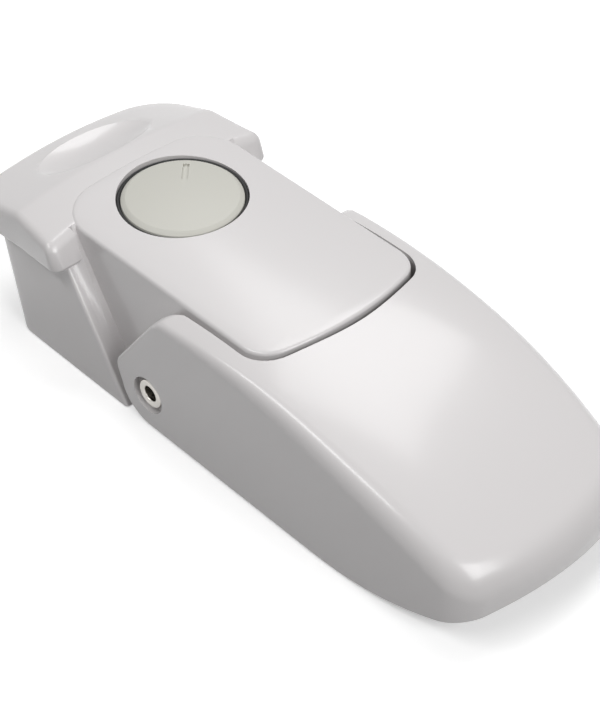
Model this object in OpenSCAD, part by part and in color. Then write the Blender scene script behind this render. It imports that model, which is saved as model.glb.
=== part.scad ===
// Locking draw latch. A fixed housing carries a hood and a raised pad. The lever turns on two hollow
// rivets and carries a crank pin, which pulls the draw hook in under the hood. A quarter-turn lock in
// the pad slides a bolt into the lever. X runs to the free end of the lever, Z up from the panel.

/* [Housing] */
// Width over the block and over the lever cheeks
body_width = 46.6; // [46:0.1:47.4]
// Width of the raised pad
pad_width = 37.2; // [36.8:0.1:37.6]
// Reach of the pad from the pivot towards the free end of the lever
pad_reach = 28.3; // [27.8:0.1:28.6]
// Height of the pad above the panel
pad_height = 30.4; // [30:0.1:30.8]
// Corner radius of the pad in plan
pad_corner = 6.5; // [5:0.5:8]
// Wall on each side of the hook space
housing_wall = 3; // [2.6:0.1:3.2]
// Width of the hood at the side next to the lever
hood_width = 50.6; // [50:0.2:51.4]
// Reach of the hood from the pivot, away from the lever
hood_reach = 52; // [51:0.5:54]
// Edge round of the hood
hood_round = 1.5; // [1:0.1:2]
// Depth of the finger scoop in the hood
scoop_depth = 1.5; // [1:0.1:2]

/* [Lever] */
// Reach of the lever from the pivot
lever_reach = 77.6; // [75:0.2:80]
// Height of the lever side edge at its highest point
lever_height = 25.8; // [25.4:0.1:26.2]
// Rise of the lever crown over its side edge
lever_crown = 3.7; // [3.5:0.1:3.9]
// Thickness of the shell over the finger hollow
lever_shell = 3; // [2.6:0.1:3.4]
// Thickness of the ribs in the finger hollow
rib = 2; // [1.6:0.1:2.4]
// Gap between the pad and the lever cut-out
lever_gap = 0.7; // [0.65:0.05:0.8]

/* [Pivot] */
// Height of the pivot axis above the panel
pivot_height = 7.4; // [7.3:0.05:7.6]
// Outside diameter of the hollow rivet
rivet_dia = 4.8; // [4.4:0.1:5.2]
// Bore of the hollow rivet
rivet_bore = 3; // [2.6:0.1:3.2]
// Counterbore in the cheek round the rivet end
counterbore = 7.5; // [7.2:0.1:8]
// Depth of the counterbore
counterbore_depth = 1.2; // [1:0.1:1.4]

/* [Hook] */
// Distance from the pivot to the crank pin
crank = 10; // [9.8:0.1:10.2]
// Angle of the crank pin below the pivot in the closed state
crank_angle = 3; // [2:0.5:4]
// Diameter of the crank pin
pin_dia = 5; // [4.6:0.1:5.2]
// Half width of the hook bar
bar_half = 6; // [5.6:0.1:6.4]
// Distance from the end of the hood to the catch face of the hook
catch_inset = 8; // [7.6:0.1:8.2]

/* [Lock] */
// Distance from the pivot to the lock axis
lock_reach = 16.3; // [16:0.1:16.6]
// Diameter of the recess round the lock disc
lock_recess = 24; // [23.6:0.1:24.4]
// Diameter of the lock disc
disc_dia = 22.3; // [22:0.1:22.6]
// Height of the disc over the pad
disc_proud = 0.2; // [0.1:0.05:0.4]
// Diameter of the lock core
core_dia = 15.9; // [15.5:0.1:16.3]
// Distance from the lock axis to the drive pin
drive_offset = 4.24; // [4.1:0.02:4.4]
// Width of the sliding bolt
bolt_width = 14; // [13.6:0.1:14.2]

/* [Keeper] */
// Width of the keeper
keeper_width = 20; // [19:0.5:21]
// Height of the keeper lip
lip_height = 7; // [6.6:0.1:7.2]
// Distance between the keeper screw holes
keeper_pitch = 12; // [11.6:0.1:12.4]
// Screw hole in the keeper
keeper_hole = 4.3; // [4.2:0.1:4.5]

/* [Mounting] */
// Tapping drill in the mounting bosses, for M5
boss_drill = 4.2; // [4.1:0.05:4.4]
// Depth of the tapped holes
boss_depth = 12; // [10:0.5:14]
// Distance between the mounting holes along the latch
boss_pitch_x = 42.4; // [42:0.1:42.6]
// Distance between the mounting holes across the latch
boss_pitch_y = 23; // [22.6:0.1:23.4]

/* [Fits] */
// Radial clearance of a turning fit
running = 0.05; // [0.03:0.01:0.08]
// Clearance of a sliding fit
sliding = 0.2; // [0.15:0.01:0.25]
// Clearance of the hook on the keeper lip
catch_gap = 0.3; // [0.3:0.05:0.4]

/* [Hidden] */
$fn = 64;
half = body_width / 2;
pad_half = pad_width / 2;
hood_half = hood_width / 2;
cheek_in = pad_half + lever_gap;
inner_half = pad_half - housing_wall;
washer_t = lever_gap - 0.1;
lever_ground = 0.3;
bow_r = 45;
pad_top_round = 0.7;
pad_side = pad_height - 2.4;
rear_inset = 21.2;
pad_rear = rear_inset - hood_reach;
lever_arc = 118;
lever_arc_x = 12;
finger_start = 45;
finger_rise = 0.0072;
end_bow = 65;
end_corner = 9;
crown_power = 4.9;
web = 3;
slant = 0.5;
slant_foot = -7.4;
slant_angle = atan(slant);
cove = 2.6;
end_lean = 0.238;
foot_inset = 16.5;
end_foot = foot_inset - hood_reach;
end_angle = atan(end_lean);
end_round = 4;
hood_crown_r = 125;
hood_low = 0.2;
hood_crown = pad_height - hood_low;
crease_inset = 17;
crease_x = crease_inset - hood_reach;
scoop_inset = 9.5;
scoop_x = scoop_inset - hood_reach;
scoop_half_x = 4.6;
scoop_half_y = 13.5;
hood_slope = 0.33;
lip_base = 22.7;
lip_fall = 0.16;
pin_x = crank * cos(crank_angle);
pin_z = pivot_height - crank * sin(crank_angle);
pin_r = pin_dia / 2;
eye_r = 3.9;
eye_half = 9.2;
spring_half = 4.8;
slot_air = 0.4;
lever_open = 64;
recess_depth = 3;
recess_floor = pad_height - recess_depth;
lock_wall = 2;
pad_under = recess_floor - lock_wall;
clip_room = 1.8;
bolt_top = pad_under - clip_room;
bolt_t = 2.7;
bolt_half = bolt_width / 2;
guide_t = 1.1;
guide_top = bolt_top - bolt_t - sliding;
guide_base = guide_top - guide_t;
bolt_tip = 30.5;
bolt_tail = -25.5;
bolt_throw = 2 * drive_offset * cos(45);
drive_r = 2;
screw_d = 2.5;
guide_x = [-6, 13.6];
guide_len = 5.6;
guide_y = 11;
boss_r = 4.3;
boss_x = [-boss_pitch_x / 2, boss_pitch_x / 2];
boss_y = boss_pitch_y / 2;
hook_ceiling = guide_top;
catch_reach = hood_reach - catch_inset;
lip_face = -catch_reach + catch_gap;
lip_t = 2.4;
keeper_t = 2.2;
keeper_half = keeper_width / 2;
keeper_back = -hood_reach + 0.6;
keeper_front = lip_face + 2.9;
keeper_hole_x = keeper_back + 3.8;
window_air = 1.1;
nose_t = 2;
nose_length = 5;
rib_y = 8;
rib_base = 3;
buffer_x = 47;
buffer_length = 8;
buffer_width = 23;
buffer_height = 5.5;
beyond = 30;

paint = [0.83, 0.81, 0.80];
steel = [0.72, 0.73, 0.74];
nylon = [0.92, 0.91, 0.86];
rubber = [0.12, 0.12, 0.13];
satin = [0.80, 0.80, 0.76];

// Side edge, crown and underside of the lever, and the bow of its free end
function edge_z(x) = lever_height - lever_arc + sqrt(lever_arc * lever_arc - pow(x - lever_arc_x, 2));
function crown_at(x) = lever_crown + max(0, x - 29) * 0.03;
function top_z(x, y) = edge_z(x) + crown_at(x) * (1 - pow(abs(y) / half, crown_power));
function base_z(x) = lever_ground + finger_rise * pow(max(0, x - finger_start), 2);
function end_x(y) = lever_reach - y * y / (2 * end_bow);
function edge_r(x) = 1.1 + 2.9 * pow(max(0, x) / 70, 2);

// Front end of the pad in plan, grown by g
pad_yc = pad_half - pad_corner;
pad_bow_x = pad_reach - bow_r;
pad_xc = pad_bow_x + sqrt(pow(bow_r - pad_corner, 2) - pad_yc * pad_yc);
pad_turn = atan2(pad_yc, pad_xc - pad_bow_x);
function pad_x(y, g) = abs(y) <= (bow_r + g) * sin(pad_turn)
    ? pad_bow_x + sqrt(pow(bow_r + g, 2) - y * y)
    : pad_xc + sqrt(max(0, pow(pad_corner + g, 2) - pow(abs(y) - pad_yc, 2)));
function arch(y) = hood_crown_r - sqrt(hood_crown_r * hood_crown_r - y * y);
function sweep_r(y) = norm([pad_x(y, lever_gap),
    pad_height - arch(min(abs(y), pad_half)) - pad_top_round / 2 - pivot_height]);

// Hood: plan outline on one side, its arched top and its underside
hood_plan = [[-24.6, hood_half], [crease_x, hood_half - 1.4], [-hood_reach + 10.5, hood_half - 3],
    [-hood_reach + 6.7, hood_half - 3.8], [-hood_reach + 3.4, hood_half - 6],
    [-hood_reach + 1.3, hood_half - 9.2], [-hood_reach + 0.5, hood_half - 13], [-hood_reach, 5]];
function hood_z(x, y) = hood_crown - hood_crown_r + sqrt(hood_crown_r * hood_crown_r - y * y)
    - max(0, crease_x - x) * hood_slope;
function hood_base(x) = lip_base + lip_fall * (x + 20);

module on_side(x, z) {
    translate([x, 0, z])
        rotate([-90, 0, 0])
            children();
}

module across(x, z, r, y0, y1) {
    translate([x, y0, z])
        rotate([-90, 0, 0])
            cylinder(r = r, h = y1 - y0);
}

module pad_plan(g) {
    intersection() {
        translate([pad_bow_x, 0])
            circle(r = bow_r + g, $fn = 180);
        polygon([[pad_bow_x, 0], [pad_bow_x + 80 * cos(pad_turn), 80 * sin(pad_turn)],
            [pad_bow_x + 80 * cos(pad_turn), -80 * sin(pad_turn)]]);
    }
    translate([pad_rear + pad_corner, -pad_half - g])
        square([pad_xc - pad_rear - pad_corner, pad_width + 2 * g]);
    translate([pad_rear - g, -pad_yc])
        square([20, 2 * pad_yc]);
    for (x = [pad_rear + pad_corner, pad_xc], s = [-1, 1])
        translate([x, s * pad_yc])
            circle(r = pad_corner + g);
}

module pad_slice(inset, drop) {
    intersection() {
        translate([0, 0, pad_side])
            linear_extrude(10)
                pad_plan(-inset);
        translate([-beyond, 0, pad_height - drop - hood_crown_r])
            rotate([0, 90, 0])
                cylinder(r = hood_crown_r, h = 3 * beyond, $fn = 360);
    }
}

module pad_body() {
    linear_extrude(pad_side + 0.1)
        pad_plan(0);
    hull() {
        pad_slice(0.05, pad_top_round);
        pad_slice(0.25, 0.2);
        pad_slice(pad_top_round, 0);
    }
}

module hood_body() {
    r = hood_round;
    hull()
        for (p = hood_plan, s = [-1, 1]) {
            x = max(p[0], -hood_reach) + (p[0] < -40 ? r * 0.8 : 0);
            y = p[1] - (p[1] > 12 ? r : 0);
            translate([x, s * y, hood_z(x, y) - r])
                sphere(r, $fn = 20);
            translate([x, s * y * 0.5, hood_z(x, y * 0.5) - r])
                sphere(r, $fn = 12);
            translate([x, 0, hood_z(x, 0) - r])
                sphere(r, $fn = 12);
            translate([x + (p[0] > -30 ? 3.3 : 0), s * y, hood_base(x) + r])
                sphere(r, $fn = 20);
        }
}

module block_side() {
    polygon([[end_foot, 0], [slant_foot, 0], [slant_foot - slant * 24.2, 24.2], [-30, 26],
        [end_foot - end_lean * 20.5, 20.5]]);
}

module cove_strip() {
    difference() {
        translate([-0.5, -0.5])
            square(cove * 0.85 + 0.5);
        translate([cove, cove])
            circle(r = cove);
    }
}

module end_corner_strip() {
    c = end_round - 0.03;
    difference() {
        translate([-2, -2])
            square(c + 2);
        translate([c, c])
            circle(r = end_round);
    }
}

module block_body() {
    difference() {
        translate([0, half, 0])
            rotate([90, 0, 0])
                linear_extrude(body_width)
                    block_side();
        for (s = [0, 1])
            mirror([0, s, 0])
                translate([end_foot, -half, 0])
                    rotate([0, -end_angle, 0])
                        translate([0, 0, -3])
                            linear_extrude(30)
                                end_corner_strip();
    }
    for (s = [0, 1])
        mirror([0, s, 0])
            translate([slant_foot, pad_half, 0])
                rotate([0, -slant_angle, 0])
                    translate([0, 0, -2])
                        linear_extrude(30)
                            cove_strip();
}

module crescent(w) {
    on_side(0, pivot_height) {
        rotate([0, 0, -lever_open - 1])
            rotate_extrude(angle = lever_open + 2 + crank_angle)
                translate([crank - w, -30])
                    square([2 * w, 60]);
        for (a = [crank_angle + 1, -lever_open - 1])
            rotate([0, 0, a])
                translate([crank, 0, -30])
                    cylinder(r = w - 0.02, h = 60);
    }
}

module bosses(r, h) {
    for (x = boss_x, s = [-1, 1])
        translate([x, s * boss_y, 0])
            cylinder(r = r, h = h);
}

module hook_space() {
    difference() {
        translate([end_foot + 1.5, -inner_half, -1])
            cube([pad_reach - housing_wall - end_foot - 2, 2 * inner_half, hook_ceiling + 1]);
        translate([0, 0, -1])
            bosses(boss_r, 40);
    }
}

module scoop() {
    tube = (scoop_half_x * scoop_half_x + scoop_depth * scoop_depth) / (2 * scoop_depth);
    ring = (scoop_half_y * scoop_half_y + scoop_depth * scoop_depth) / (2 * scoop_depth) - tube;
    translate([scoop_x, 0, hood_z(scoop_x, 0)])
        rotate([0, -atan(hood_slope), 0])
            translate([0, 0, ring + tube - scoop_depth])
                rotate([0, 90, 0])
                    rotate_extrude($fn = 120)
                        translate([ring, 0])
                            circle(r = tube);
}

module housing() {
    color(paint)
        difference() {
            union() {
                pad_body();
                hood_body();
                block_body();
            }
            translate([-60, -30, -20])
                cube([90, 60, 20]);
            hook_space();
            translate([-60, -13, -1])
                cube([30, 26, 19.6]);
            translate([-29, -bolt_half - sliding, hook_ceiling - 1])
                cube([29 + 40, bolt_width + 2 * sliding, bolt_top + sliding - hook_ceiling + 1]);
            translate([-lock_reach, 0, hook_ceiling])
                cylinder(d = lock_recess, h = pad_under - hook_ceiling);
            translate([-lock_reach, 0, recess_floor])
                cylinder(d = lock_recess, h = 10);
            translate([-lock_reach, 0, 10])
                cylinder(r = core_dia / 2 + running, h = 30);
            scoop();
            across(0, pivot_height, rivet_dia / 2, -beyond, beyond);
            crescent(pin_r + slot_air);
            translate([0, 0, -1])
                bosses(boss_drill / 2, boss_depth + 1);
            for (x = guide_x, s = [-1, 1])
                translate([x, s * guide_y, guide_base])
                    cylinder(d = screw_d, h = 5.6);
        }
}

module rivet() {
    rotate_extrude()
        polygon([[rivet_bore / 2, inner_half - 0.8], [rivet_dia / 2 + 1.6, inner_half - 0.8],
            [rivet_dia / 2 + 1.6, inner_half], [rivet_dia / 2, inner_half],
            [rivet_dia / 2, half - counterbore_depth + 0.1], [rivet_dia / 2 + 0.7, half - counterbore_depth + 0.35],
            [rivet_dia / 2 + 0.8, half - counterbore_depth + 0.6], [rivet_dia / 2 + 0.6, half - 0.4],
            [rivet_dia / 2, half - 0.3], [rivet_bore / 2 + 0.5, half - 0.45], [rivet_bore / 2, half - 1]]);
}

module pivot_rivet_near() {
    color(steel)
        on_side(0, pivot_height)
            mirror([0, 0, 1])
                rivet();
}

module pivot_rivet_far() {
    color(steel)
        on_side(0, pivot_height)
            rivet();
}

module washer() {
    translate([0, 0, pad_half])
        difference() {
            cylinder(d = rivet_dia + 5, h = washer_t);
            translate([0, 0, -1])
                cylinder(d = rivet_dia, h = 5);
        }
}

module pivot_washer_near() {
    color(nylon)
        on_side(0, pivot_height)
            mirror([0, 0, 1])
                washer();
}

module pivot_washer_far() {
    color(nylon)
        on_side(0, pivot_height)
            washer();
}

module cheek_round(x, z, r) {
    across(x, z, r, -half + 0.7, half - 0.7);
    across(x, z, r - 0.7, -half, half);
}

module lever_form() {
    cx = lever_reach - 10.6;
    cy = half - end_corner;
    hull() {
        cheek_round(0, pivot_height, pivot_height - lever_ground, $fn = 48);
        cheek_round(-3.1, 9.6, 5, $fn = 48);
        cheek_round(3.7, lever_height - 2.7, 2.5, $fn = 32);
        for (x = [10, 17, 24, 31, 38, 45, 52, 59, 66], s = [-1, 1]) {
            r = edge_r(x);
            translate([x, s * (half - r), edge_z(x) - r])
                sphere(r, $fn = 24);
            translate([x, s * (half - 1), base_z(x) + 1])
                sphere(1, $fn = 12);
            for (y = [0, 7, 13, 17, 20])
                translate([x, s * y, top_z(x, y) - 1])
                    sphere(1, $fn = 10);
        }
        for (a = [88, 68, 46, 24, 6], s = [-1, 1]) {
            x = cx + end_corner * cos(a);
            y = cy + end_corner * sin(a);
            r = min(2.6, (top_z(x, y) - base_z(x)) / 2);
            translate([x - r * cos(a), s * (y - r * sin(a)), top_z(x, y) - r])
                sphere(r, $fn = 20);
            translate([x - r * cos(a), s * (y - r * sin(a)), base_z(x) + r])
                sphere(r, $fn = 16);
        }
        for (y = [0, 5, 10], s = [-1, 1]) {
            x = end_x(y);
            r = (top_z(x, y) - base_z(x)) / 2;
            translate([x - r, s * y, base_z(x) + r])
                sphere(r, $fn = 20);
        }
    }
}

module finger_hollow() {
    difference() {
        hull()
            for (x = [34, 41, 48, 55, 62, lever_reach - 7], s = [-1, 1], y = [0, 9, half - lever_shell - 2.4]) {
                w = x > 65 ? y * 0.8 : y;
                translate([x, s * w, top_z(x, w) - lever_shell - 1.5])
                    sphere(1.5, $fn = 16);
                translate([x, s * w, -3])
                    cube(1, center = true);
            }
        across(0, pivot_height, norm([pad_reach + lever_gap, pad_height - pivot_height]) + web, -beyond, beyond);
        for (s = [-1, 1])
            translate([beyond, s * rib_y - rib / 2, rib_base])
                cube([2 * beyond, rib, 40]);
    }
}

module lever() {
    sweep = [for (i = [-7:7]) i * cheek_in / 7];
    color(paint)
        difference() {
            lever_form();
            on_side(0, pivot_height)
                rotate_extrude($fn = 96)
                    polygon(concat([[0, -cheek_in]], [for (y = sweep) [sweep_r(y), y]], [[0, cheek_in]]));
            finger_hollow();
            across(0, pivot_height, rivet_dia / 2 + running, -beyond, beyond);
            across(0, pivot_height, counterbore / 2, -beyond, -half + counterbore_depth);
            across(0, pivot_height, counterbore / 2, half - counterbore_depth, beyond);
            across(pin_x, pin_z, pin_r, -half + 1.2, beyond);
            translate([20, -bolt_half - 0.5, bolt_top - bolt_t - window_air])
                cube([21, bolt_width + 1, bolt_t + 2 * window_air]);
        }
}

module lever_buffer() {
    color(rubber)
        difference() {
            translate([buffer_x - buffer_length / 2, -buffer_width / 2, 0])
                cube([buffer_length, buffer_width, buffer_height]);
            for (s = [-1, 1])
                translate([buffer_x - buffer_length, s * rib_y - rib / 2, rib_base])
                    cube([2 * buffer_length, rib, buffer_height]);
        }
}

module hook_pin() {
    color(steel)
        across(pin_x, pin_z, pin_r, -half + 1.2, half - 0.3);
}

module spacer(y0, y1) {
    difference() {
        across(pin_x, pin_z, 3.4, y0, y1);
        across(pin_x, pin_z, pin_r, -beyond, beyond);
    }
}

module hook_spacer_near() {
    color(nylon)
        spacer(-inner_half + 0.3, -eye_half - 0.1);
}

module hook_spacer_far() {
    color(nylon)
        spacer(eye_half + 0.1, inner_half - 0.3);
}

module hook_side() {
    polygon([[pin_x, pin_z + 3.4], [2, 10.6], [-20, 11], [-catch_reach - 2.2, 11], [-catch_reach - 3.4, 9.8],
        [-catch_reach - 3.4, 4], [-catch_reach - 1.8, 2.7], [-catch_reach, 2.7], [-catch_reach, 8.4],
        [-36, 8.2], [-14, 6.6], [2, 4.2], [pin_x, pin_z - 3.4]]);
}

module draw_hook() {
    color(steel)
        difference() {
            union() {
                across(pin_x, pin_z, eye_r, -eye_half, eye_half);
                translate([0, bar_half, 0])
                    rotate([90, 0, 0])
                        linear_extrude(2 * bar_half)
                            hook_side();
                translate([0, eye_half, 0])
                    rotate([90, 0, 0])
                        linear_extrude(2 * eye_half)
                            polygon([[pin_x, pin_z + eye_r], [3, 10.5], [-2, 10.6], [-2, 5], [3, 4.1],
                                [pin_x, pin_z - eye_r]]);
                translate([0, keeper_half - 1, 0])
                    rotate([90, 0, 0])
                        linear_extrude(keeper_width - 2)
                            polygon([[-catch_reach + 3.4, 11], [-catch_reach - 2.2, 11], [-catch_reach - 3.4, 9.8],
                                [-catch_reach - 3.4, 4], [-catch_reach - 1.8, 2.7], [-catch_reach, 2.7],
                                [-catch_reach, 8.4], [-catch_reach + 3.4, 8.4]]);
            }
            across(pin_x, pin_z, pin_r + running, -beyond, beyond);
            across(pin_x, pin_z, eye_r + 0.6, -spring_half, spring_half);
            translate([pin_x, -spring_half, 0])
                cube([10, 2 * spring_half, 30]);
        }
}

module hook_spring() {
    wire = 1.1;
    ring = pin_r + 0.25 + wire / 2;
    color(steel)
        union() {
            on_side(pin_x, pin_z)
                rotate_extrude($fn = 48)
                    for (i = [-3.5:3.5])
                        translate([ring, i * wire * 0.98])
                            circle(d = wire, $fn = 24);
            translate([pin_x, -3.5 * wire * 0.98, pin_z - ring])
                rotate([0, -97.5, 0])
                    cylinder(d = wire, h = 9, $fn = 24);
            translate([pin_x, 3.5 * wire * 0.98, pin_z - ring])
                rotate([0, 84, 0])
                    cylinder(d = wire, h = 12.5, $fn = 24);
        }
}

module lock_disc() {
    r = disc_dia / 2;
    top = pad_height + disc_proud;
    color(satin)
        translate([-lock_reach, 0, 0])
            difference() {
                rotate_extrude($fn = 128)
                    polygon([[0, recess_floor + 0.6], [r, recess_floor + 0.6], [r, top - 0.8], [r - 0.1, top - 0.4],
                        [r - 0.35, top - 0.12], [r - 0.8, top], [0, top]]);
                rotate([0, 0, 135])
                    translate([r - 6.5, -0.6, top - 0.4])
                        cube([4.6, 1.2, 2]);
            }
}

module lock_core() {
    color(steel)
        translate([-lock_reach, 0, 0]) {
            difference() {
                translate([0, 0, bolt_top + sliding])
                    cylinder(d = core_dia, h = recess_floor + 0.6 - bolt_top - sliding);
                translate([0, 0, bolt_top + 0.5])
                    difference() {
                        cylinder(d = 30, h = 0.8);
                        cylinder(d = core_dia - 1.6, h = 0.8);
                    }
            }
            rotate([0, 0, 135])
                translate([drive_offset, 0, bolt_top - bolt_t + 0.3])
                    cylinder(r = drive_r, h = 4);
        }
}

module flat_ring(d0, d1, z, h) {
    translate([-lock_reach, 0, z])
        difference() {
            cylinder(d = d1, h = h);
            translate([0, 0, -1])
                cylinder(d = d0, h = h + 2);
        }
}

module lock_seal() {
    color(rubber)
        flat_ring(core_dia + 2 * running, disc_dia - 1, recess_floor, 0.55);
}

module lock_washer() {
    color(steel)
        flat_ring(core_dia + 2 * running, core_dia + 5, bolt_top + 1.3, pad_under - bolt_top - 1.3);
}

module lock_clip() {
    color(steel)
        difference() {
            flat_ring(core_dia - 1.6, core_dia + 3, bolt_top + 0.5, 0.75);
            translate([-lock_reach, -2.5, bolt_top])
                cube([20, 5, 2]);
        }
}

module lock_bolt() {
    slot = drive_r + 0.3;
    px = -lock_reach - drive_offset * cos(45);
    py = drive_offset * sin(45);
    color(steel)
        difference() {
            translate([bolt_tail, -bolt_half, bolt_top - bolt_t])
                cube([bolt_tip - bolt_tail, bolt_width, bolt_t]);
            translate([px - slot, py - 0.4, 0])
                cube([2 * slot, 2.2, 40]);
            for (y = [py - 0.4, py + 1.8])
                translate([px, y, 0])
                    cylinder(r = slot, h = 40);
            for (s = [-1, 1])
                translate([bolt_tip, s * bolt_half, 0])
                    rotate([0, 0, 45])
                        cube([2.6, 2.6, 100], center = true);
            for (z = [bolt_top - bolt_t / 2 + nose_t / 2, bolt_top - bolt_t / 2 - nose_t / 2 - 5])
                translate([bolt_tip - nose_length, -bolt_width, z])
                    cube([beyond, 2 * bolt_width, 5]);
        }
}

module guide_plate(x) {
    difference() {
        translate([x - guide_len / 2, -inner_half + sliding, guide_base])
            cube([guide_len, 2 * (inner_half - sliding), guide_t]);
        for (s = [-1, 1])
            translate([x, s * guide_y, guide_base]) {
                translate([0, 0, -1])
                    cylinder(d = screw_d, h = 5);
                cylinder(d1 = screw_d + 2, d2 = screw_d, h = 1);
            }
    }
}

module guide_plate_front() {
    color(steel)
        guide_plate(guide_x[1]);
}

module guide_plate_rear() {
    color(steel)
        guide_plate(guide_x[0]);
}

module guide_screws() {
    color(steel)
        for (x = guide_x, s = [-1, 1])
            translate([x, s * guide_y, guide_base])
                difference() {
                    union() {
                        cylinder(d1 = screw_d + 2, d2 = screw_d, h = 1);
                        cylinder(d = screw_d, h = 5);
                    }
                    translate([-3, -0.3, -1])
                        cube([6, 0.6, 1.5]);
                }
}

module keeper() {
    color(steel)
        difference() {
            union() {
                translate([keeper_back, -keeper_width / 2, 0])
                    cube([keeper_front - keeper_back, keeper_width, keeper_t]);
                translate([lip_face, -keeper_half + 1, 0])
                    cube([lip_t, keeper_width - 2, lip_height]);
            }
            for (s = [-1, 1])
                translate([keeper_hole_x, s * keeper_pitch / 2, -1])
                    cylinder(d = keeper_hole, h = 10);
        }
}

housing();
pivot_rivet_near();
pivot_rivet_far();
pivot_washer_near();
pivot_washer_far();
lever();
lever_buffer();
hook_pin();
hook_spacer_near();
hook_spacer_far();
draw_hook();
hook_spring();
lock_disc();
lock_core();
lock_seal();
lock_washer();
lock_clip();
lock_bolt();
guide_plate_front();
guide_plate_rear();
guide_screws();
keeper();
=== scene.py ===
import bmesh
import bpy
import math
from mathutils import Matrix, Vector


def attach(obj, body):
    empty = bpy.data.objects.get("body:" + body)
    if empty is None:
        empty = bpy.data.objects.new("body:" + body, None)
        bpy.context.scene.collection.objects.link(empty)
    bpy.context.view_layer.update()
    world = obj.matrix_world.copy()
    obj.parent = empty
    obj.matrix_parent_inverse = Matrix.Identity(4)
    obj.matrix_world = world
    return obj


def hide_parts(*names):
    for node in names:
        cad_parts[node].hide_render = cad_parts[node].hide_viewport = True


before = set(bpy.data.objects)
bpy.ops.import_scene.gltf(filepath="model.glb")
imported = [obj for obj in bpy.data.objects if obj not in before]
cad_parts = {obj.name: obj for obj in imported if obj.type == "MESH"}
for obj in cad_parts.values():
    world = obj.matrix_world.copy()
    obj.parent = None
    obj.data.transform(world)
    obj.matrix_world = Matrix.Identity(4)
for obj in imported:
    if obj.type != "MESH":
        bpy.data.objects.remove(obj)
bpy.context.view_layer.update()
mm = 0.001
sliceDist = 0.0001
weldDist = 0.0005
print("frame loaded")


# small helpers

def toLinear(hexCode):
    values = [int(hexCode[i:i + 2], 16) / 255 for i in (1, 3, 5)]
    return [v / 12.92 if v <= 0.04045 else ((v + 0.055) / 1.055) ** 2.4 for v in values] + [1.0]


def addNode(tree, kind, settings=None, links=None):
    node = tree.nodes.new(kind)
    for key, value in (settings or {}).items():
        if key in node.inputs:
            node.inputs[key].default_value = value
        else:
            setattr(node, key, value)
    for key, socket in (links or {}).items():
        tree.links.new(socket, node.inputs[key])
    return node


def toMetres(bm):
    bmesh.ops.scale(bm, vec=(mm, mm, mm), verts=bm.verts)


def makeMesh(name, bm, smoothAngle=30):
    bmesh.ops.recalc_face_normals(bm, faces=bm.faces[:])
    mesh = bpy.data.meshes.new(name)
    bm.to_mesh(mesh)
    bm.free()
    for poly in mesh.polygons:
        poly.use_smooth = True
    mesh.set_sharp_from_angle(angle=math.radians(smoothAngle))
    piece = bpy.data.objects.new(name, mesh)
    bpy.context.scene.collection.objects.link(piece)
    return piece


def carve(piece, tool, operation="DIFFERENCE"):
    boolean = piece.modifiers.new("carve", "BOOLEAN")
    boolean.operation = operation
    boolean.solver = "MANIFOLD"  # closes every cut; the exact solver now and then left the lever open
    boolean.object = tool
    depsgraph = bpy.context.evaluated_depsgraph_get()
    mesh = bpy.data.meshes.new_from_object(piece.evaluated_get(depsgraph))
    piece.modifiers.clear()
    old = piece.data
    piece.data = mesh
    bpy.data.meshes.remove(old)
    used = tool.data
    bpy.data.objects.remove(tool)
    bpy.data.meshes.remove(used)


def boxTool(low, high):
    bm = bmesh.new()
    bmesh.ops.create_cube(bm, size=1)
    size = [b - a for a, b in zip(low, high)]
    centre = [(a + b) / 2 for a, b in zip(low, high)]
    bmesh.ops.scale(bm, vec=size, verts=bm.verts)
    bmesh.ops.translate(bm, vec=centre, verts=bm.verts)
    toMetres(bm)
    return makeMesh("boxTool", bm)


def rodTool(centre, radius, length, axis="Z", steps=96):
    bm = bmesh.new()
    bmesh.ops.create_cone(bm, cap_ends=True, segments=steps, radius1=radius, radius2=radius,
                          depth=length)
    if axis == "Y":
        bmesh.ops.rotate(bm, matrix=Matrix.Rotation(math.pi / 2, 3, "X"), verts=bm.verts)
    bmesh.ops.translate(bm, vec=centre, verts=bm.verts)
    toMetres(bm)
    return makeMesh("rodTool", bm)


def plateFrom(points, low, high, axis="Z"):
    # a flat outline pushed out between two heights, along Z or along Y
    bm = bmesh.new()
    if axis == "Z":
        ring = [bm.verts.new((x, y, low)) for x, y in points]
        push = Vector((0, 0, high - low))
    else:
        ring = [bm.verts.new((x, low, z)) for x, z in points]
        push = Vector((0, high - low, 0))
    face = bm.faces.new(ring)
    grown = bmesh.ops.extrude_face_region(bm, geom=[face])
    moved = [v for v in grown["geom"] if isinstance(v, bmesh.types.BMVert)]
    bmesh.ops.translate(bm, vec=push, verts=moved)
    return bm


def arcPoints(cx, cy, radius, start, end, count):
    step = (end - start) / count
    angles = [math.radians(start + step * i) for i in range(count + 1)]
    return [(cx + radius * math.cos(a), cy + radius * math.sin(a)) for a in angles]


def cutsAlongX(values):
    return [((x, 0, 0), (1, 0, 0)) for x in values]


def cutsAlongY(values):
    return [((0, y, 0), (0, 1, 0)) for y in values]


def sliceAll(bm, cuts):
    for place, normal in cuts:
        geom = bm.verts[:] + bm.edges[:] + bm.faces[:]
        bmesh.ops.bisect_plane(bm, geom=geom, plane_co=place, plane_no=normal, dist=sliceDist)


def spinFull(points, axis, steps, closed=True):
    bm = bmesh.new()
    line = [bm.verts.new(p) for p in points]
    ends = line[1:] + line[:1] if closed else line[1:]
    edges = [bm.edges.new((a, b)) for a, b in zip(line, ends)]
    bmesh.ops.spin(bm, geom=line + edges, cent=(0, 0, 0), axis=axis, angle=2 * math.pi, steps=steps,
                   use_merge=True, use_duplicate=False)
    return bm


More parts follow.
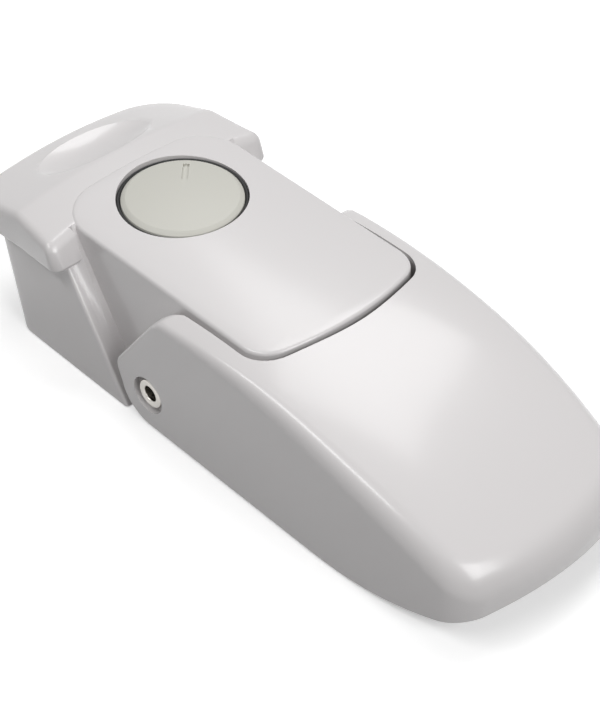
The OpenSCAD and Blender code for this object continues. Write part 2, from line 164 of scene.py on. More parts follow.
def roundRim(bm, radius, steps=5, side=1):
    # the top rim, or with side -1 the lower rim, becomes a quarter round in rings of insets
    bmesh.ops.recalc_face_normals(bm, faces=bm.faces[:])
    top = max(bm.faces, key=lambda f: side * f.calc_center_median().z)
    for i in range(steps):
        a = math.pi / 2 * i / steps
        b = math.pi / 2 * (i + 1) / steps
        inset = radius * (math.cos(a) - math.cos(b))
        rise = radius * (math.sin(b) - math.sin(a))
        bmesh.ops.inset_region(bm, faces=[top], thickness=inset, depth=0, use_even_offset=True)
        bmesh.ops.translate(bm, vec=(0, 0, side * rise), verts=top.verts[:])


def finishEdges(piece, width):
    # joins slivers of the cuts, then breaks every crisp edge as a casting has it
    sliver = 0.03 * mm
    bm = bmesh.new()
    bm.from_mesh(piece.data)
    bmesh.ops.remove_doubles(bm, verts=bm.verts, dist=sliver)
    bmesh.ops.dissolve_degenerate(bm, edges=bm.edges, dist=sliver)
    bm.to_mesh(piece.data)
    bm.free()
    bevel = piece.modifiers.new("edgeRound", "BEVEL")
    bevel.width = width * mm
    bevel.segments = 3
    bevel.limit_method = "ANGLE"
    bevel.angle_limit = math.radians(32)
    bevel.miter_outer = "MITER_ARC"
    bevel.use_clamp_overlap = True
    bevel.harden_normals = True


# materials

def plainMaterial(name, hexCode, roughness, metallic=0.0, extra=None):
    material = bpy.data.materials.new(name)
    material.use_nodes = True
    shader = material.node_tree.nodes["Principled BSDF"]
    shader.inputs["Base Color"].default_value = toLinear(hexCode)
    shader.inputs["Roughness"].default_value = roughness
    shader.inputs["Metallic"].default_value = metallic
    for key, value in (extra or {}).items():
        shader.inputs[key].default_value = value
    return material


def addGrain(material, grainMm, heightMm):
    tree = material.node_tree
    shader = tree.nodes["Principled BSDF"]
    place = addNode(tree, "ShaderNodeTexCoord")
    noise = addNode(tree, "ShaderNodeTexNoise", {"Scale": 1 / (grainMm * mm), "Detail": 2.0},
                    {"Vector": place.outputs["Object"]})
    bump = addNode(tree, "ShaderNodeBump", {"Distance": heightMm * mm, "Strength": 1.0},
                   {"Height": noise.outputs["Fac"]})
    tree.links.new(bump.outputs["Normal"], shader.inputs["Normal"])


def powderCoat():
    # polyester powder coat on a zinc casting: satin, with a faint orange peel
    gloss = {"IOR": 1.5, "Coat Weight": 0.6, "Coat Roughness": 0.16}
    material = plainMaterial("powderCoatSatin", "#D4D1D1", 0.35, extra=gloss)
    addGrain(material, 0.9, 0.004)
    return material


def satinNickel():
    # bead-blasted nickel: soft and matt, a fine grain drawn coarse enough to show
    material = plainMaterial("nickelBeadBlasted", "#C6C5BD", 0.5)
    addGrain(material, 0.22, 0.012)
    return material


def brightNickel():
    # rolled rivet ends: a nearly sharp mirror
    return plainMaterial("nickelBright", "#BDBAB5", 0.2, 1.0)


def zincPlate():
    # barrel plated: bright with a faint cloud
    material = plainMaterial("zincPlateBright", "#C4C6C8", 0.34, 1.0)
    addGrain(material, 1.4, 0.003)
    return material


def springSteel():
    # drawn wire: darker, with a clear highlight
    return plainMaterial("springSteelDrawn", "#8E9092", 0.3, 1.0)


def nylon():
    # moulded nylon: warm off-white with a soft sheen
    return plainMaterial("nylonMoulded", "#E8E4D6", 0.42, extra={"IOR": 1.53})


def rubber():
    # moulded rubber: near black and dull
    return plainMaterial("nitrileMoulded", "#1B1B1C", 0.7)


coat = powderCoat()
nickel = satinNickel()
bright = brightNickel()
zinc = zincPlate()
spring = springSteel()
plastic = nylon()
black = rubber()
print("materials made")


# lever: a lofted crowned shell that straddles the pad

lever = {
    "half": 23.3, "reach": 77.55, "edgeHeight": 27.0, "arcRadius": 124.0, "arcX": 18.0,
    "crown": 3.3, "crownStart": 29.0, "crownGrowth": -0.03, "crownPower": 2.6, "ground": 0.3,
    "start": -14, "fingerStart": 45.0, "fingerRise": 0.0072,
    "endBow": 65.0, "endCorner": 6.5, "endBend": 12.4, "taperStart": 40.0, "taper": 0.0022,
    "cheekInner": 19.3, "shell": 3.0, "web": 3.0, "rib": 2.0, "ribY": 8.0,
    "hollowStart": 32.0, "hollowStep": 1.5, "hollowEnd": 72.5, "hollowCorner": 4.0, "hollowFoot": -6.0,
    "edgeRoundSmall": 0.8, "edgeRoundLarge": 4.2, "edgeRoundEnd": 70.0, "crispEdge": 0.45,
    "frontX": -7.13, "frontZ": 12.55, "frontSlope": 1.366, "frontSoft": 1.8, "innerRound": 2.0,
    "kneeX": -3.1, "kneeZ": 9.6, "kneeRadius": 5.0, "noseX": -7.8, "noseZ": 13.0,
    "windowLow": (20, -7.5, 19.8), "windowHigh": (41, 7.5, 24.7),
}
pivot = {"z": 7.4, "rivet": 4.8, "play": 0.05, "counterbore": 7.5, "counterboreDepth": 1.2, "through": 60.0}
pad = {
    "half": 18.6, "reach": 28.3, "height": 30.4, "corner": 6.5, "bow": 45.0, "rear": -30.4,
    "rearCorner": 8.5, "round": 0.7, "gap": 0.7, "archRadius": 125.0,
}
crank = {"radius": 10.0, "angle": 3.0, "pin": 5.0, "holeY": 4.0, "holeLength": 52.2}
pinX = crank["radius"] * math.cos(math.radians(crank["angle"]))
pinZ = pivot["z"] - crank["radius"] * math.sin(math.radians(crank["angle"]))


def leverHalf(x):
    return lever["half"] - lever["taper"] * max(0, x - lever["taperStart"]) ** 2


def leverEdge(x):
    r = lever["arcRadius"]
    return lever["edgeHeight"] - r + math.sqrt(r ** 2 - (x - lever["arcX"]) ** 2)


def leverTop(x, y):
    crown = lever["crown"] + max(0, x - lever["crownStart"]) * lever["crownGrowth"]
    half = leverHalf(x)
    top = leverEdge(x) + crown * (1 - (min(abs(y), half) / half) ** lever["crownPower"])
    r = lever["innerRound"]
    near = min(r, max(0, r + lever["cheekInner"] - abs(y)))
    slide = r - math.sqrt(r * r - near * near)  # the slanted front turns inwards beside the pad
    front = lever["frontZ"] + (x - slide - lever["frontX"]) * lever["frontSlope"]
    blend = max(0, 1 - abs(top - front) / lever["frontSoft"])
    return min(top, front) - blend * blend * lever["frontSoft"] / 4


def leverBase(x):
    return lever["ground"] + lever["fingerRise"] * max(0, x - lever["fingerStart"]) ** 2


def edgeRound(x):
    small = lever["edgeRoundSmall"]
    end = lever["edgeRoundEnd"]
    return small + (lever["edgeRoundLarge"] - small) * max(0, min(x, end)) / end


def leverOutline(start):
    # the plan with its outward normals: one side, round to the middle of the free end, and mirrored
    corner = lever["endCorner"]
    cy = lever["half"] - corner
    bend = math.radians(lever["endBend"])
    yt = cy + corner * math.sin(bend)
    cx = lever["reach"] - yt * yt / (2 * lever["endBow"]) - corner * math.cos(bend)
    count = int((cx - start) / 1.6)
    side = [((start + (cx - start) * i / count, lever["half"]), (0, 1)) for i in range(count)]
    turn = [math.pi / 2 + (bend - math.pi / 2) * i / 20 for i in range(21)]
    arcs = [((cx + corner * math.cos(a), cy + corner * math.sin(a)), (math.cos(a), math.sin(a)))
            for a in turn]
    bow = []
    for i in range(1, 13):
        y = yt * (1 - i / 12)
        slope = y / lever["endBow"]
        size = math.hypot(1, slope)
        bow.append(((lever["reach"] - y * y / (2 * lever["endBow"]), y), (1 / size, slope / size)))
    upper = [((x, y * leverHalf(x) / lever["half"]), normal)
             for (x, y), normal in side + arcs + bow]
    lower = [((x, -y), (nx, -ny)) for (x, y), (nx, ny) in reversed(upper[:-1])]
    return upper + lower


def inOrder(items):
    return list(dict.fromkeys(items))  # each item once, in the same order on every run


def leverLoft(name):
    # plan outline, rounded over its top edge in rings, with a crowned top
    bm = bmesh.new()
    rings = 10
    start = lever["start"]
    outline = leverOutline(start)
    layers = []
    low = []
    for (x, y), (nx, ny) in outline:
        low.append(bm.verts.new((x, y, leverBase(x))))
    layers.append(low)
    for k in range(rings + 1):
        a = math.pi / 2 * k / rings
        layer = []
        for (x, y), (nx, ny) in outline:
            room = leverTop(x - nx * 2, y - ny * 2) - leverBase(x)
            r = min(edgeRound(x), 0.62 * room)
            d = r * (1 - math.cos(a))
            qx = max(start, x - nx * d)
            qy = y - ny * d
            layer.append(bm.verts.new((qx, qy, leverTop(qx, qy) - r * (1 - math.sin(a)))))
        layers.append(layer)
    n = len(outline)
    for one, two in zip(layers, layers[1:]):
        for i in range(n):
            j = (i + 1) % n
            bm.faces.new((one[i], one[j], two[j], two[i]))
    roof = bm.faces.new(layers[-1])
    ground = bm.faces.new(low)
    for face, kind in ((roof, "roof"), (ground, "ground")):
        part = [face]
        cuts = cutsAlongX(range(start + 2, 77, 2))
        if kind == "roof":
            cuts += cutsAlongY(range(-22, 23, 2))
            cuts += cutsAlongX(x * 0.4 for x in range(-5, 25) if x % 5)
            rows = [lever["cheekInner"] + d for d in (0.1, 0.3, 0.6, 1.0, 1.5, 2.0)]
            cuts += cutsAlongY(side * y for y in rows for side in (-1, 1))
        for place, normal in cuts:
            geom = inOrder(v for f in part for v in f.verts)
            geom += inOrder(e for f in part for e in f.edges) + part
            cut = bmesh.ops.bisect_plane(bm, geom=geom, plane_co=place, plane_no=normal, dist=sliceDist)
            part = [g for g in cut["geom"] if isinstance(g, bmesh.types.BMFace)]
        for v in inOrder(v for f in part for v in f.verts):
            v.co.z = leverTop(v.co.x, v.co.y) if kind == "roof" else leverBase(v.co.x)
    toMetres(bm)
    return makeMesh(name, bm, 40)


def hollowTool():
    # the inside of the finger part: columns under the crowned roof, with round corners at the end
    bm = bmesh.new()
    end = lever["hollowEnd"]
    corner = lever["hollowCorner"]
    start = lever["hollowStart"]
    step = lever["hollowStep"]
    xs = [start + step * i for i in range(int((end - corner - start) / step) + 1)]
    xs += [end - corner + corner * math.sin(math.pi / 2 * i / 10) for i in range(1, 11)]
    roof, ground = [], []
    for x in xs:
        past = max(0, x - end + corner)
        turn = math.sqrt(max(0, corner ** 2 - past ** 2))
        half = leverHalf(x) - lever["shell"] - corner + turn
        ys = [half * (j / 12 - 1) for j in range(25)]
        roof.append([bm.verts.new((x, y, leverTop(x, y) - lever["shell"])) for y in ys])
        ground.append([bm.verts.new((x, y, lever["hollowFoot"])) for y in ys])
    for i in range(len(xs) - 1):
        for j in range(24):
            bm.faces.new((roof[i][j], roof[i + 1][j], roof[i + 1][j + 1], roof[i][j + 1]))
            bm.faces.new((ground[i][j], ground[i][j + 1], ground[i + 1][j + 1], ground[i + 1][j]))
        for j in (0, 24):
            bm.faces.new((roof[i][j], ground[i][j], ground[i + 1][j], roof[i + 1][j]))
    for i in (0, len(xs) - 1):
        for j in range(24):
            bm.faces.new((roof[i][j], roof[i][j + 1], ground[i][j + 1], ground[i][j]))
    toMetres(bm)
    return makeMesh("hollowTool", bm)


def padCorner():
    # centres of the pad's front bow and corner, and the angle where they meet
    yc = pad["half"] - pad["corner"]
    bowX = pad["reach"] - pad["bow"]
    xc = bowX + math.sqrt((pad["bow"] - pad["corner"]) ** 2 - yc ** 2)
    return bowX, xc, yc, math.atan2(yc, xc - bowX)


def padEdge(y, grow):
    # X of the pad's front end at y, grown outwards
    bowX, xc, yc, turn = padCorner()
    if abs(y) <= (pad["bow"] + grow) * math.sin(turn):
        return bowX + math.sqrt((pad["bow"] + grow) ** 2 - y * y)
    return xc + math.sqrt(max(0, (pad["corner"] + grow) ** 2 - (abs(y) - yc) ** 2))


def arch(y):
    return pad["archRadius"] - math.sqrt(pad["archRadius"] ** 2 - y * y)


def sweepRadius(y):
    top = pad["height"] - arch(min(abs(y), pad["half"])) - pad["round"] / 2
    return math.hypot(padEdge(y, pad["gap"]), top - pivot["z"])


def padSweep():
    # what the pad takes up as the lever turns past it
    inner = lever["cheekInner"]
    count = 30
    ys = [inner * math.sin(math.pi / 2 * i / count) for i in range(-count, count + 1)]
    points = [(0, -inner, 0)] + [(sweepRadius(y), y, 0) for y in ys] + [(0, inner, 0)]
    bm = spinFull(points, (0, 1, 0), 160, closed=False)
    bmesh.ops.remove_doubles(bm, verts=bm.verts, dist=weldDist)
    bmesh.ops.translate(bm, vec=(0, 0, pivot["z"]), verts=bm.verts)
    toMetres(bm)
    return makeMesh("padSweep", bm)


def leverProfile():
    # the cheek ends seen from the side: round the pivot, then a slant up to the top corner
    low = pivot["z"] - lever["ground"]
    points = arcPoints(0, pivot["z"], low, -90, -170, 18)
    points += arcPoints(lever["kneeX"], lever["kneeZ"], lever["kneeRadius"], 190, 149, 10)
    points += [(lever["noseX"], lever["noseZ"]), (lever["noseX"], 40), (90, 40)]
    points += [(90, lever["ground"] - 1), (0, lever["ground"] - 1)]
    return makeMesh("leverProfile", plateMm(points, -40, 40))


def plateMm(points, low, high):
    bm = plateFrom(points, low, high, "Y")
    toMetres(bm)
    return bm


def buildLever():
    piece = leverLoft("leverCasting")
    carve(piece, leverProfile(), "INTERSECT")
    carve(piece, padSweep())
    hollow = hollowTool()
    webOuter = math.hypot(pad["reach"] + pad["gap"], pad["height"] - pivot["z"]) + lever["web"]
    axis = (0, 0, pivot["z"])
    carve(hollow, rodTool(axis, webOuter, pivot["through"], "Y", 160))
    for side in (-1, 1):
        y = side * lever["ribY"]
        carve(hollow, boxTool((30, y - lever["rib"] / 2, 3), (90, y + lever["rib"] / 2, 40)))
    carve(piece, hollow)
    depth = pivot["counterboreDepth"]
    for side in (-1, 1):
        place = (0, side * (lever["half"] - depth + 5), pivot["z"])
        carve(piece, rodTool(place, pivot["counterbore"] / 2, 10, "Y", 64))
    carve(piece, rodTool(axis, pivot["rivet"] / 2 + pivot["play"], pivot["through"], "Y", 72))
    carve(piece, rodTool((pinX, crank["holeY"], pinZ), crank["pin"] / 2, crank["holeLength"], "Y", 64))
    carve(piece, boxTool(lever["windowLow"], lever["windowHigh"]))
    finishEdges(piece, lever["crispEdge"])
    piece.data.materials.clear()
    piece.data.materials.append(coat)
    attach(piece, "lever_body")
    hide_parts("lever")


buildLever()
print("lever built")


# housing: hood, block and pad in one casting

hood = {
    "half": 25.25, "reach": 52.1, "lipX": -21.3, "lipLean": 0.6, "leanReach": 6.0, "lipBend": 24.2,
    "lipCorner": 2.0, "creaseX": -35.0, "creaseSoft": 0.25, "creasePull": 1.4, "slope": 0.33,
    "cornerX": -42.3, "cornerY": 13.9, "cornerRadius": 9.5, "bowY": 7.0, "bowDrop": 0.1,
    "crownRadius": 125.0, "crown": 30.2, "round": 1.5, "lowRound": 1.0, "plate": 10.0,
    "baseX": -20.0, "baseZ": 22.7, "baseFall": 0.16, "crispEdge": 0.5,
    "scoopX": -41.6, "scoopDepth": 2.2, "scoopHalfLong": 14.0, "scoopHalfShort": 6.9, "scoopBall": 6.0,
}
block = {
    "half": 23.3, "endFoot": -39.6, "endLean": 0.25, "endTop": 20.5, "slantFoot": -6.4, "slant": 0.68,
    "top": 23.2, "ridgeX": -30.0, "ridgeZ": 26.0, "cove": 3.2, "cornerRound": 5.0, "edge": 0.6, "draft": 0.03,
}
bosses = {
    "places": [(x, y) for x in (-21.2, 21.2) for y in (-11.5, 11.5)],
    "radius": 4.3, "drill": 4.2, "depth": 12.0,
}
lock = {
    "x": -16.3, "recess": 24.0, "recessFloor": 27.4, "core": 15.9, "play": 0.05,
    "pocketLow": 20.7, "pocketHigh": 25.4,
}
rooms = {
    "ground": ((-70, -40, -20), (60, 40, 0)), "inside": ((-38.1, -15.6, -1), (24.8, 15.6, 20.7)),
    "hookWay": ((-60, -13, -1), (-30, 13, 18.6)), "boltWay": ((-29, -7.2, 19), (40, 7.2, 23.8)),
}


def hoodTop(x, y):
    crest = hood["crown"] - hood["crownRadius"] + math.sqrt(hood["crownRadius"] ** 2 - y * y)
    drop = (hood["creaseX"] - x) * hood["slope"]
    soft = hood["creaseSoft"]
    if drop <= soft:
        drop = 0 if drop < -soft else (drop + soft) ** 2 / (4 * soft)
    return crest - drop


def hoodOutline():
    back = -hood["reach"]
    r = hood["lipCorner"]
    side = arcPoints(hood["lipX"] - r, hood["half"] - r, r, 0, 86, 6)
    side += [(hood["creaseX"], hood["half"] - hood["creasePull"])]
    turn = arcPoints(hood["cornerX"], hood["cornerY"], hood["cornerRadius"], 91, 177, 18)
    bow = [(back + hood["bowDrop"], hood["bowY"]), (back, 0)]
    upper = side + turn + bow
    return upper + [(x, -y) for x, y in reversed(upper[:-1])]


def buildHood():
    bm = plateFrom(hoodOutline(), 0, hood["plate"])
    roundRim(bm, hood["round"], 6)
    roundRim(bm, hood["lowRound"], 5, -1)
    cuts = cutsAlongX(x * 1.5 for x in range(-36, -12))
    cuts += cutsAlongX(hood["creaseX"] + d for d in (-0.8, -0.4, 0, 0.4, 0.8))
    sliceAll(bm, cuts + cutsAlongY(y * 1.5 for y in range(-16, 17)))
    for v in bm.verts:
        x, y, z = v.co
        if z < hood["plate"] / 2:
            v.co.z = hood["baseZ"] + hood["baseFall"] * (x - hood["baseX"]) + z + hood["lowRound"]
        else:
            v.co.z = hoodTop(x, y) + z - hood["plate"] - hood["round"]
    for v in bm.verts:  # the lip's front leans back above its nose
        share = max(0, (v.co.x - hood["lipX"] + hood["leanReach"]) / hood["leanReach"])
        v.co.x -= share * max(0, v.co.z - hood["lipBend"]) * hood["lipLean"]
    toMetres(bm)
    return makeMesh("hoodForm", bm, 40)


def scoopTool():
    # an ellipsoid set into the slope, so that its cut is a long lens
    deep = hood["scoopBall"]
    spread = math.sqrt(1 - (1 - hood["scoopDepth"] / deep) ** 2)
    bm = bmesh.new()
    bmesh.ops.create_uvsphere(bm, u_segments=128, v_segments=96, radius=1)
    size = (hood["scoopHalfShort"] / spread, hood["scoopHalfLong"] / spread, deep)
    bmesh.ops.scale(bm, vec=size, verts=bm.verts)
    bmesh.ops.translate(bm, vec=(0, 0, deep - hood["scoopDepth"]), verts=bm.verts)
    bmesh.ops.rotate(bm, matrix=Matrix.Rotation(-math.atan(hood["slope"]), 3, "Y"), verts=bm.verts)
    bmesh.ops.translate(bm, vec=(hood["scoopX"], 0, hoodTop(hood["scoopX"], 0)), verts=bm.verts)
    toMetres(bm)
    return makeMesh("scoopTool", bm)


def padOutline():
    bowX, xc, yc, meet = padCorner()
    turn = math.degrees(meet)
    points = arcPoints(bowX, 0, pad["bow"], -turn, turn, 24)
    points += arcPoints(xc, yc, pad["corner"], turn, 90, 14)[1:]
    rear = pad["rearCorner"]
    points += arcPoints(pad["rear"] + rear, pad["half"] - rear, rear, 90, 180, 18)
    points += arcPoints(pad["rear"] + rear, rear - pad["half"], rear, 180, 270, 18)
    points += arcPoints(xc, -yc, pad["corner"], -90, -turn, 14)[:-1]
    return points


def buildPad():
    bm = plateFrom(padOutline(), 0, pad["height"] - pad["round"])
    roundRim(bm, pad["round"], 5)
    sliceAll(bm, cutsAlongY(range(-18, 19, 2)) + cutsAlongX(range(-30, 29, 2)))
    for v in bm.verts:
        if v.co.z > 20:
            v.co.z -= arch(v.co.y)
    toMetres(bm)
    return makeMesh("housingCasting", bm, 40)


def buildBlock():
    top = block["top"]
    foot = block["slantFoot"]
    points = [(block["endFoot"], 0), (foot, 0), (foot - block["slant"] * top, top),
              (block["ridgeX"], block["ridgeZ"]),
              (block["endFoot"] - block["endLean"] * block["endTop"], block["endTop"])]
    bm = plateFrom(points, -block["half"], block["half"], "Y")
    ends = [e for e in bm.edges if abs(abs(e.verts[0].co.y) - block["half"]) < 0.01
            and abs(abs(e.verts[1].co.y) - block["half"]) < 0.01
            and e.verts[0].co.y * e.verts[1].co.y > 0
            and max(v.co.x for v in e.verts) < -35 and min(v.co.z for v in e.verts) < 1]
    bmesh.ops.bevel(bm, geom=ends, offset=block["cornerRound"], offset_type="OFFSET", segments=10,
                    profile=0.5, affect="EDGES", material=-1)
    slants = [e for e in bm.edges if e.verts[0].co.y * e.verts[1].co.y > 0
              and {round(v.co.z, 2) for v in e.verts} == {0, round(top, 2)}
              and max(v.co.x for v in e.verts) > -20]
    bmesh.ops.bevel(bm, geom=slants, offset=block["edge"], offset_type="OFFSET", segments=4,
                    profile=0.5, affect="EDGES", material=-1)
    for v in bm.verts:
        v.co.y *= 1 - block["draft"] * v.co.z / block["half"]
    toMetres(bm)
    return makeMesh("blockForm", bm, 40)


def buildCove(side):
    # a hollow fillet between the slanted block and the pad's side
    r = block["cove"]
    curve = arcPoints(r, r, r, 180, 270, 16)
    points = [(-1, -1), (-1, r)] + curve + [(r, -1)]
    bm = plateFrom(points, -4, 34)
    angle = math.atan(block["slant"])
    if side < 0:
        bmesh.ops.scale(bm, vec=(1, -1, 1), verts=bm.verts)
    bmesh.ops.rotate(bm, matrix=Matrix.Rotation(-angle, 3, "Y"), verts=bm.verts)
    bmesh.ops.translate(bm, vec=(block["slantFoot"], side * pad["half"], 0), verts=bm.verts)
    cut = bmesh.ops.bisect_plane(bm, geom=bm.verts[:] + bm.edges[:] + bm.faces[:], dist=sliceDist,
                                 clear_outer=True, plane_co=(hood["lipX"] - 0.1, 0, hood["lipBend"]),
                                 plane_no=(1, 0, hood["lipLean"]))
    rim = [g for g in cut["geom_cut"] if isinstance(g, bmesh.types.BMEdge)]
    bmesh.ops.contextual_create(bm, geom=rim)
    toMetres(bm)
    return makeMesh("coveForm", bm, 40)


def pinSlot():
    # the crescent that the crank pin runs in, through both walls
    r = crank["radius"]
    w = crank["pin"] / 2 + 0.4
    low, high = -crank["angle"] - 1, 62
    z = pivot["z"]
    points = arcPoints(0, z, r + w, low, high, 26)
    a = math.radians(high)
    points += arcPoints(r * math.cos(a), z + r * math.sin(a), w, high, high + 180, 14)[1:]
    points += arcPoints(0, z, r - w, high, low, 22)[1:]
    a = math.radians(low)
    points += arcPoints(r * math.cos(a), z + r * math.sin(a), w, low + 180, low + 360, 14)[1:-1]
    return makeMesh("pinSlot", plateMm(points, -30, 30))


def buildHousing():
    piece = buildPad()
    carve(piece, buildBlock(), "UNION")
    for side in (-1, 1):
        carve(piece, buildCove(side), "UNION")
    roof = buildHood()
    carve(roof, scoopTool())
    carve(piece, roof, "UNION")
    carve(piece, boxTool(*rooms["ground"]))
    space = boxTool(*rooms["inside"])
    for x, y in bosses["places"]:
        carve(space, rodTool((x, y, 10), bosses["radius"], 60, "Z", 64))
    carve(piece, space)
    for x, y in bosses["places"]:
        place = (x, y, bosses["depth"] / 2 - 1)
        carve(piece, rodTool(place, bosses["drill"] / 2, bosses["depth"] + 2, "Z", 48))
    carve(piece, pinSlot())
    carve(piece, boxTool(*rooms["hookWay"]))
    carve(piece, boxTool(*rooms["boltWay"]))
    low, high = lock["pocketLow"], lock["pocketHigh"]
    carve(piece, rodTool((lock["x"], 0, (low + high) / 2), lock["recess"] / 2, high - low))
    carve(piece, rodTool((lock["x"], 0, lock["recessFloor"] + 5), lock["recess"] / 2, 10))
    carve(piece, rodTool((lock["x"], 0, 25), lock["core"] / 2 + lock["play"], 30))
    carve(piece, rodTool((0, 0, pivot["z"]), pivot["rivet"] / 2, pivot["through"], "Y", 64))
    finishEdges(piece, hood["crispEdge"])
    piece.data.materials.clear()
    piece.data.materials.append(coat)
    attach(piece, "base")
    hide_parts("housing")


buildHousing()
print("housing built")


# rivets: hollow, with a rolled end in the cheek's counterbore

rivet = {
    "inner": 14.8, "flange": 4.0, "flangeThick": 0.8, "shank": 2.4, "bore": 1.5, "end": 23.0,
    "lip": 0.55, "roll": 0.42, "rollFoot": 0.95,
}


def buildRivet(name, node, side):
    lipZ = rivet["end"] - rivet["roll"]
    lipR = (rivet["bore"] + rivet["shank"] + rivet["lip"]) / 2
    lipW = (rivet["shank"] + rivet["lip"] - rivet["bore"]) / 2
    flangeTop = rivet["inner"] + rivet["flangeThick"]
    points = [(rivet["bore"], rivet["inner"]), (rivet["flange"], rivet["inner"]),
              (rivet["flange"], flangeTop), (rivet["shank"], flangeTop),
              (rivet["shank"], lipZ - rivet["rollFoot"] * rivet["roll"])]
    points += [(lipR + lipW * math.cos(a), lipZ + rivet["roll"] * math.sin(a))
               for a in [math.radians(-60 + 240 * i / 20) for i in range(21)]]
    bm = spinFull([(r, side * along, 0) for r, along in points], (0, 1, 0), 72)
    bmesh.ops.translate(bm, vec=(0, 0, pivot["z"]), verts=bm.verts)
    toMetres(bm)
    piece = makeMesh(name, bm, 50)
    piece.data.materials.append(bright)
    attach(piece, "base")
    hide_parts(node)


buildRivet("rivetNear", "pivot_rivet_near", -1)
buildRivet("rivetFar", "pivot_rivet_far", 1)
print("rivets built")


# seal: a rubber ring under the disc, with a black lip raised into the ring gap as painted shade, so the gap
# reads dark

seal = {
    "inner": 8.05, "outer": 11.92, "lipInner": 11.28, "low": 27.42, "high": 27.93, "lip": 29.65, "soft": 0.2,
}


def buildSeal():
    soft = seal["soft"]
    lip = seal["lip"]
    # the flat ring under the disc is the seal; the black lip up to seal["lip"] is a dark sheet standing in
    # for the gap's shade
    points = [(seal["inner"], seal["low"]), (seal["outer"], seal["low"]), (seal["outer"], lip - soft),
              (seal["outer"] - soft, lip), (seal["lipInner"] + soft, lip), (seal["lipInner"], lip - soft),
              (seal["lipInner"], seal["high"]), (seal["inner"], seal["high"])]
    bm = spinFull([(r, 0, z) for r, z in points], (0, 0, 1), 96)
    bmesh.ops.translate(bm, vec=(lock["x"], 0, 0), verts=bm.verts)
    toMetres(bm)
    piece = makeMesh("sealRingShadeLip", bm, 30)
    piece.data.materials.append(black)
    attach(piece, "base")
    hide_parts("lock_seal")


buildSeal()
print("seal built")


# disc: satin face with a turned bevel, nearly flush with the arched pad

disc = {
    "radius": 11.15, "low": 28.0, "top": 30.35, "bevel": 0.8, "fall": 0.65,
    "softSide": 0.15, "softRim": 0.06, "softTop": 0.05,
    "notchAngle": 135.0, "notchFar": 9.2, "notchNear": 4.6, "notchHalf": 0.6, "notchDepth": 0.4,
}


def buildDisc():
    r = disc["radius"]
    top = disc["top"]
    rim = top - disc["fall"]
    flat = r - disc["bevel"]
    points = [(0, disc["low"]), (r, disc["low"]), (r, rim - disc["softSide"]), (r - disc["softRim"], rim),
              (flat, top - disc["softTop"]), (flat - disc["softSide"], top), (0, top)]
    bm = spinFull([(x, 0, z) for x, z in points], (0, 0, 1), 128, closed=False)
    bmesh.ops.remove_doubles(bm, verts=bm.verts, dist=weldDist)
    toMetres(bm)
    piece = makeMesh("lockFace", bm, 25)
    notch = boxTool((disc["notchNear"], -disc["notchHalf"], top - disc["notchDepth"]),
                    (disc["notchFar"], disc["notchHalf"], top + 1))
    notch.data.transform(Matrix.Rotation(math.radians(disc["notchAngle"]), 4, "Z"))
    carve(piece, notch)
    piece.data.set_sharp_from_angle(angle=math.radians(25))
    piece.data.transform(Matrix.Translation((lock["x"] * mm, 0, 0)))
    piece.data.materials.clear()
    piece.data.materials.append(nickel)
    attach(piece, "lock_body")
    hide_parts("lock_disc")


buildDisc()
print("disc built")


# the other CAD pieces keep their shape

finishes = {
    "pivot_washer_near": plastic, "pivot_washer_far": plastic,
    "hook_spacer_near": plastic, "hook_spacer_far": plastic,
    "lever_buffer": black,
    "hook_spring": spring, "lock_washer": spring, "lock_clip": spring,
}
for name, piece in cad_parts.items():
    if name in ("lever", "housing", "pivot_rivet_near", "pivot_rivet_far", "lock_seal", "lock_disc"):
        continue
    piece.data.materials.clear()
    piece.data.materials.append(finishes.get(name, zinc))
print("finishes set")


# studio

studio = {
    "camera": (204.74, -178.83, 248.91), "azimuth": 46.8, "elevation": 42.35, "lens": 100.0,
    "floor": "#F4F4F4", "floorGlow": 0.35, "floorBounce": "#707070", "floorHalf": 3, "floorZ": -0.0002,
    "world": 0.14, "aim": (0.01, 0, 0.015),
}
lamps = {  # place, width and depth in metres, watts
    "keyStrip": ((-0.15, -0.52, 0.87), 0.8, 0.15, 3.2),
    "backSoftbox": ((-0.25, 0.4, 0.88), 0.6, 0.6, 4.2),
    "endSoftbox": ((0.8, -0.05, 0.6), 0.5, 0.5, 4.5),
}


def shownRays(tree):
    # 1 where the eye, a mirror or glass meets the backdrop, 0 where it only lights the part
    path = addNode(tree, "ShaderNodeLightPath")
    seen = path.outputs["Is Camera Ray"]
    for kind in ("Is Glossy Ray", "Is Transmission Ray"):
        either = addNode(tree, "ShaderNodeMath", {"operation": "MAXIMUM"},
                         {0: seen, 1: path.outputs[kind]})
        seen = either.outputs[0]
    return seen


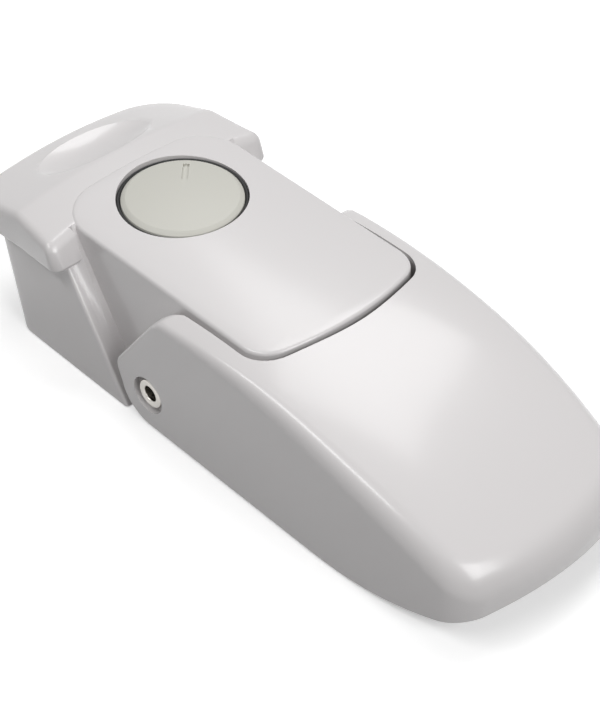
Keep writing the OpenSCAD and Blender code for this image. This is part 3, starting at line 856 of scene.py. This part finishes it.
def paperFloor():
    # white paper to the eye; it sends back less light than it shows, so the sides stay in shade
    material = plainMaterial("paperWhite", studio["floor"], 0.95)
    tree = material.node_tree
    shown = tree.nodes["Principled BSDF"]
    shown.inputs["Emission Color"].default_value = toLinear("#FFFFFF")
    shown.inputs["Emission Strength"].default_value = studio["floorGlow"]
    dull = addNode(tree, "ShaderNodeBsdfDiffuse", {"Color": toLinear(studio["floorBounce"])})
    mix = addNode(tree, "ShaderNodeMixShader", None,
                  {0: shownRays(tree), 1: dull.outputs[0], 2: shown.outputs[0]})
    tree.links.new(mix.outputs[0], tree.nodes["Material Output"].inputs["Surface"])
    return material


def buildStudio():
    scene = bpy.context.scene
    scene.view_settings.view_transform = "Standard"
    world = bpy.data.worlds.new("studioWorld")
    world.use_nodes = True
    scene.world = world
    tree = world.node_tree
    light = tree.nodes["Background"]
    light.inputs["Color"].default_value = toLinear("#FFFFFF")
    light.inputs["Strength"].default_value = studio["world"]
    white = addNode(tree, "ShaderNodeBackground", {"Color": toLinear("#FFFFFF"), "Strength": 1.0})
    mix = addNode(tree, "ShaderNodeMixShader", None,
                  {0: shownRays(tree), 1: light.outputs[0], 2: white.outputs[0]})
    tree.links.new(mix.outputs[0], tree.nodes["World Output"].inputs["Surface"])

    bm = bmesh.new()
    bmesh.ops.create_grid(bm, x_segments=1, y_segments=1, size=studio["floorHalf"])
    bmesh.ops.translate(bm, vec=(0, 0, studio["floorZ"]), verts=bm.verts)
    floor = makeMesh("studioFloor", bm)
    floor.data.materials.append(paperFloor())

    for name, (place, wide, deep, power) in lamps.items():
        lamp = bpy.data.lights.new(name, "AREA")
        lamp.shape = "RECTANGLE"
        lamp.size = wide
        lamp.size_y = deep
        lamp.energy = power
        holder = bpy.data.objects.new(name, lamp)
        holder.location = place
        away = Vector(place) - Vector(studio["aim"])
        holder.rotation_euler = away.to_track_quat("Z", "Y").to_euler()
        scene.collection.objects.link(holder)

    camera = bpy.data.cameras.new("photoCamera")
    camera.lens = studio["lens"]
    camera.clip_start = 0.01
    holder = bpy.data.objects.new("photoCamera", camera)
    az = math.radians(studio["azimuth"])
    el = math.radians(studio["elevation"])
    back = Vector((math.sin(az) * math.cos(el), -math.cos(az) * math.cos(el), math.sin(el)))
    right = Vector((math.cos(az), math.sin(az), 0))
    up = back.cross(right)
    turn = Matrix((right, up, back)).transposed().to_4x4()
    holder.matrix_world = Matrix.Translation(Vector(studio["camera"]) * mm) @ turn
    scene.collection.objects.link(holder)
    scene.camera = holder


buildStudio()
print("studio set")
